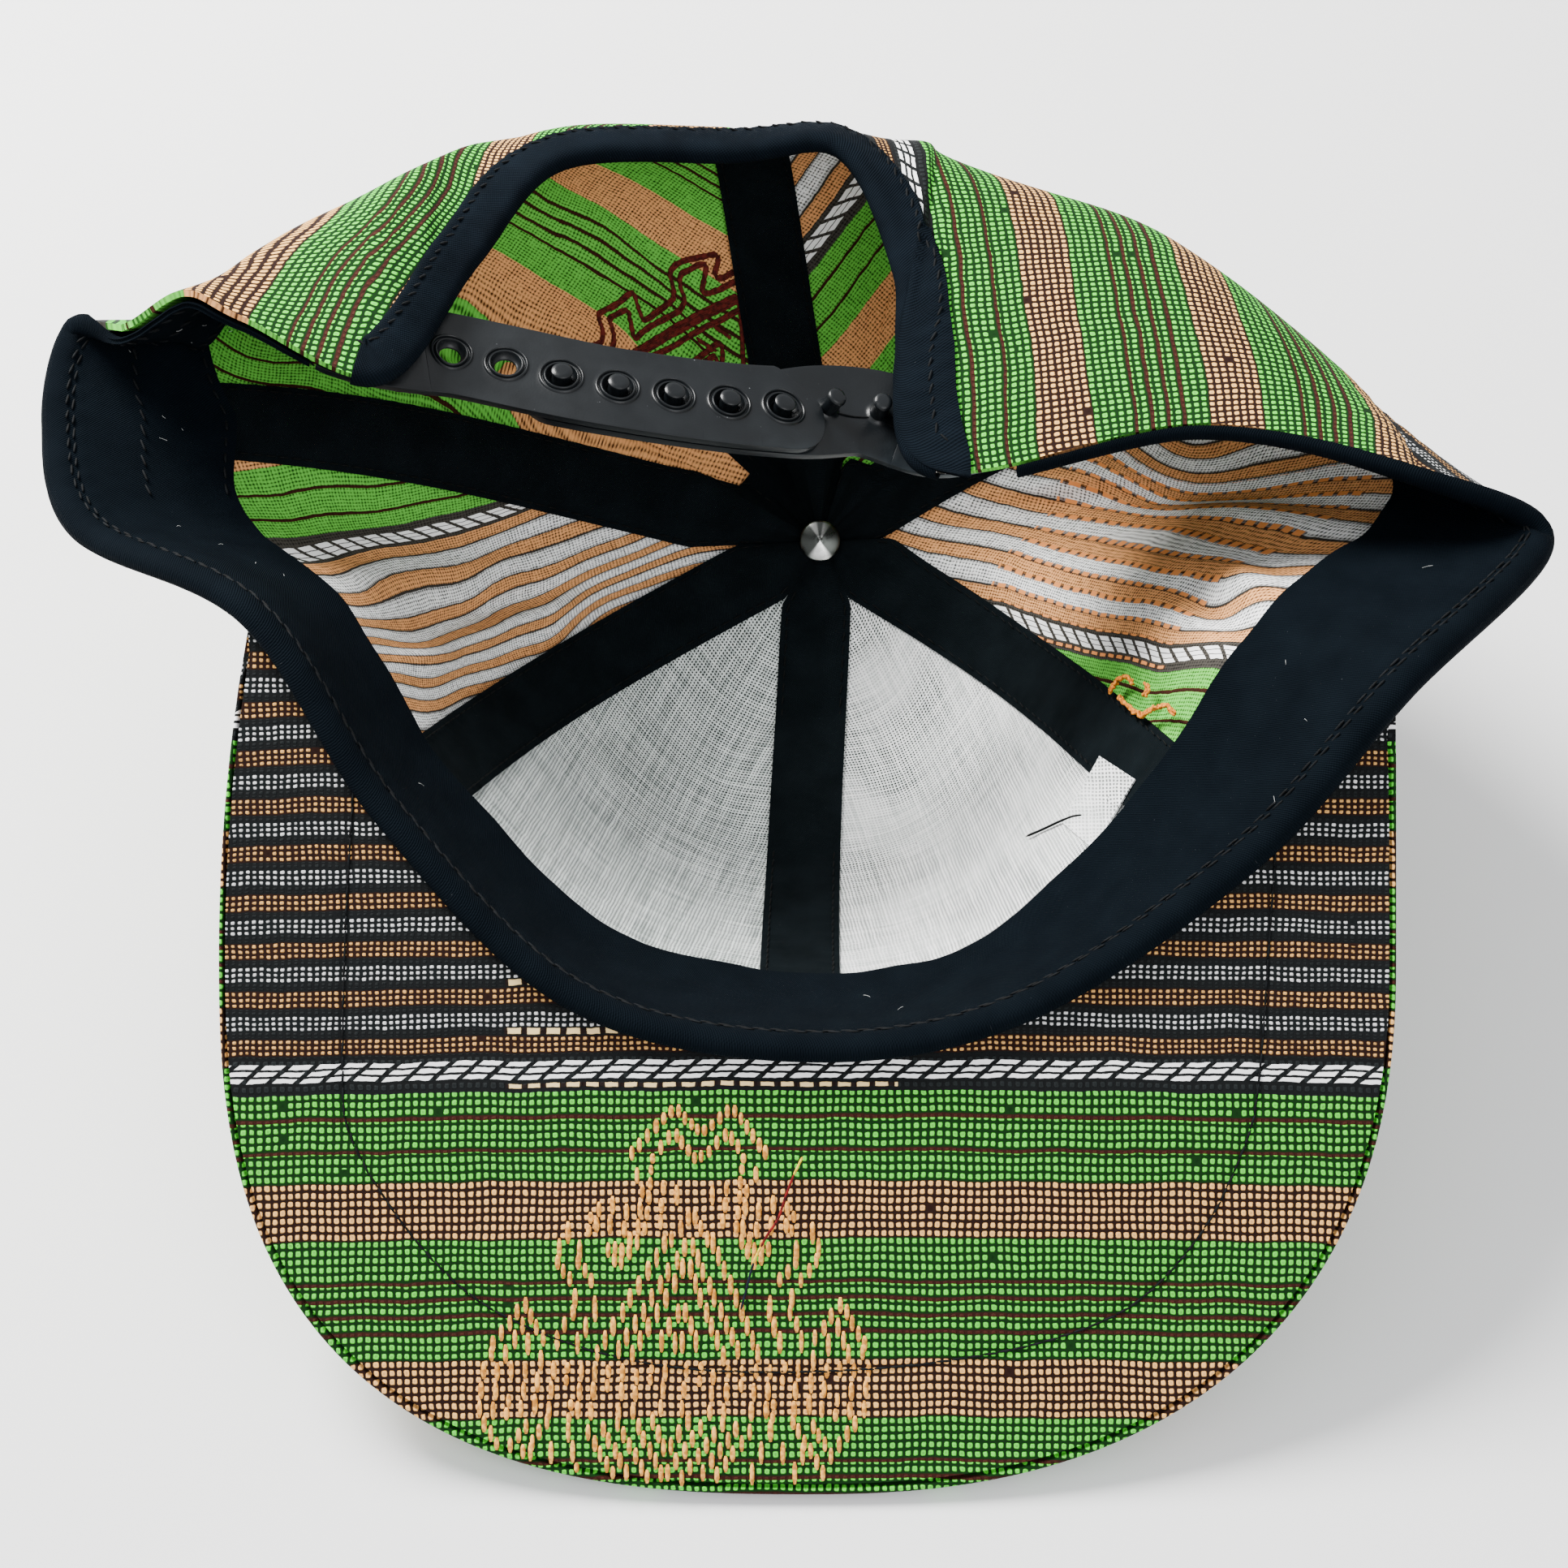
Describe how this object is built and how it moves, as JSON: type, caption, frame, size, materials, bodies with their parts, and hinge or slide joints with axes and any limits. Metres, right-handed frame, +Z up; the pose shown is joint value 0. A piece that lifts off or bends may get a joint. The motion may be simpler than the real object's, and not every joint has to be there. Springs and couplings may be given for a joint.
{
  "type": "snapback cap",
  "caption": "Panelled cap with a flat peak, arched rear opening and snap strap, lying open side up on its front.",
  "frame": {"origin": "middle of the floor area that the cap covers, on the floor that it rests on", "axes": "+X to the cap's right seen from above its opening, +Y towards the back with the strap, +Z up from the floor; the cap lies upside down, leaning forward onto its front and the tip of its peak"},
  "size_m": [0.254, 0.235, 0.109],
  "materials": {
    "green_cloth": "hand-woven striped cotton, green with fine brown lines and tan bands",
    "striped_cloth": "hand-woven striped cotton, tan, white, green and black bands with dashed borders",
    "buckram": "stiff open-mesh white buckram",
    "black_twill": "black cotton twill tape with stitched edges",
    "black_plastic": "glossy moulded polythene",
    "steel": "spun bright rivet"
  },
  "bodies": {
    "root": {"rear_left_panel": "striped_cloth", "side_left_panel": "striped_cloth", "front_left_panel": "green_cloth", "front_right_panel": "green_cloth", "side_right_panel": "striped_cloth", "rear_right_panel": "green_cloth", "front_left_buckram": "buckram", "front_right_buckram": "buckram", "rear_centre_tape": "black_twill", "left_rear_tape": "black_twill", "front_left_tape": "black_twill", "front_centre_tape": "black_twill", "front_right_tape": "black_twill", "right_rear_tape": "black_twill", "sweatband": "black_twill", "arch_binding": "black_twill", "peak_under_cover": "green_cloth", "peak_upper_cover": "green_cloth", "strap_with_holes": "black_plastic", "strap_with_pegs": "black_plastic", "crown_button": "green_cloth", "button_rivet": "steel"}
  },
  "joints": []
}
